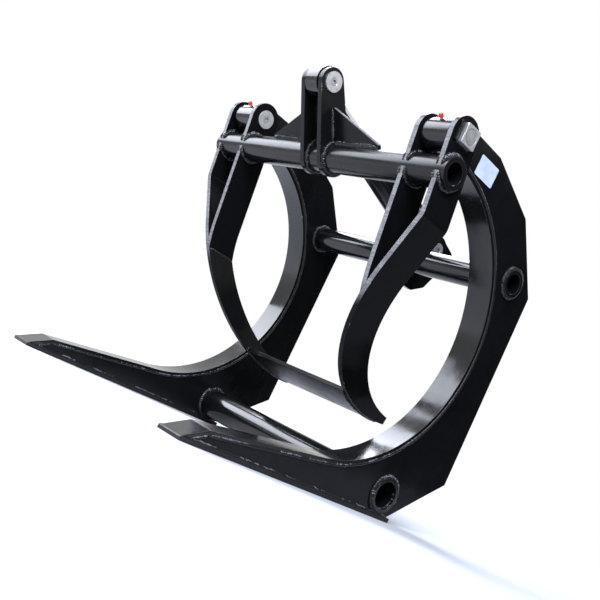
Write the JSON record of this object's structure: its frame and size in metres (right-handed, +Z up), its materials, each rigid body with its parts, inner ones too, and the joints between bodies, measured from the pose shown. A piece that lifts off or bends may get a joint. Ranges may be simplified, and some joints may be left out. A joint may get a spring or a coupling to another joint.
{
  "type": "log grapple",
  "caption": "Front-loader log grapple: two C-shaped tine frames on cross tubes, a hinged jaw of two folded claws on a torque tube, and one hydraulic cylinder.",
  "frame": {"origin": "on the ground under the middle of the grapple's box, midway between the two tine frames", "axes": "+X across the grapple, -Y the way the tines point, +Z up with the soles flat on the ground"},
  "size_m": [0.974, 0.9717, 1.035],
  "materials": {
    "black_paint": "gloss black enamel over fabricated plate, light edge wear",
    "liner_paint": "gloss black enamel on rolled flat bar, scuffed by logs",
    "zinc_plate": "bright zinc plate",
    "ground_steel": "ground pin steel",
    "bronze": "plain bearing bronze",
    "chrome": "hard chrome rod",
    "red_cap": "soft plastic cap"
  },
  "bodies": {
    "frame": {"base_pin": "ground_steel", "base_pin_bolts": "zinc_plate", "base_pin_washers": "zinc_plate", "grease_caps": "red_cap", "grease_nipples": "zinc_plate", "left_bracket_lug": "black_paint", "left_frame_back_bar": "black_paint", "left_frame_inner_plate": "black_paint", "left_frame_liner": "liner_paint", "left_frame_outer_plate": "black_paint", "left_pivot_boss": "black_paint", "left_pivot_bushes": "bronze", "left_tine_sole": "black_paint", "left_tine_tip": "black_paint", "lower_cross_tube": "black_paint", "middle_cross_tube": "black_paint", "right_bracket_lug": "black_paint", "right_frame_back_bar": "black_paint", "right_frame_inner_plate": "black_paint", "right_frame_liner": "liner_paint", "right_frame_outer_plate": "black_paint", "right_pivot_boss": "black_paint", "right_pivot_bushes": "bronze", "right_tine_sole": "black_paint", "right_tine_tip": "black_paint"},
    "jaw": {"clevis_pin": "ground_steel", "clevis_pin_bolts": "zinc_plate", "clevis_pin_washers": "zinc_plate", "cross_blade": "black_paint", "left_claw_plate": "black_paint", "left_clevis_gusset": "black_paint", "left_clevis_lug": "black_paint", "left_inner_arm_plate": "black_paint", "pin_head_plates": "zinc_plate", "pin_stop_bars": "black_paint", "pivot_bolts": "zinc_plate", "pivot_pins": "ground_steel", "pivot_washers": "zinc_plate", "right_claw_plate": "black_paint", "right_clevis_gusset": "black_paint", "right_clevis_lug": "black_paint", "right_inner_arm_plate": "black_paint", "torque_tube": "black_paint"},
    "barrel": {"cylinder_barrel": "black_paint", "cylinder_base_eye": "black_paint", "cylinder_gland": "black_paint", "cylinder_ports": "black_paint"},
    "rod": {"cylinder_piston": "ground_steel", "cylinder_rod": "chrome", "cylinder_rod_eye": "black_paint"}
  },
  "joints": [
    {"name": "jaw_hinge", "type": "hinge", "parent": "frame", "child": "jaw", "pos_m": [0, -0.131, 0.923], "axis": [-1, 0, 0], "range_deg": [0, 85]},
    {"name": "barrel_swing", "type": "hinge", "parent": "frame", "child": "barrel", "pos_m": [0, 0.404, 0.801], "axis": [-1, 0, 0], "range_deg": [0, 12]},
    {"name": "rod_slide", "type": "slide", "parent": "barrel", "child": "rod", "axis": [0, -0.9589, 0.2837], "range_m": [-0.131, 0]}
  ],
  "couplings": [
    {"joint": "barrel_swing", "follows": "jaw_hinge", "ratio": 0.1409},
    {"joint": "rod_slide", "follows": "jaw_hinge", "m_per_rad": -0.0881}
  ]
}
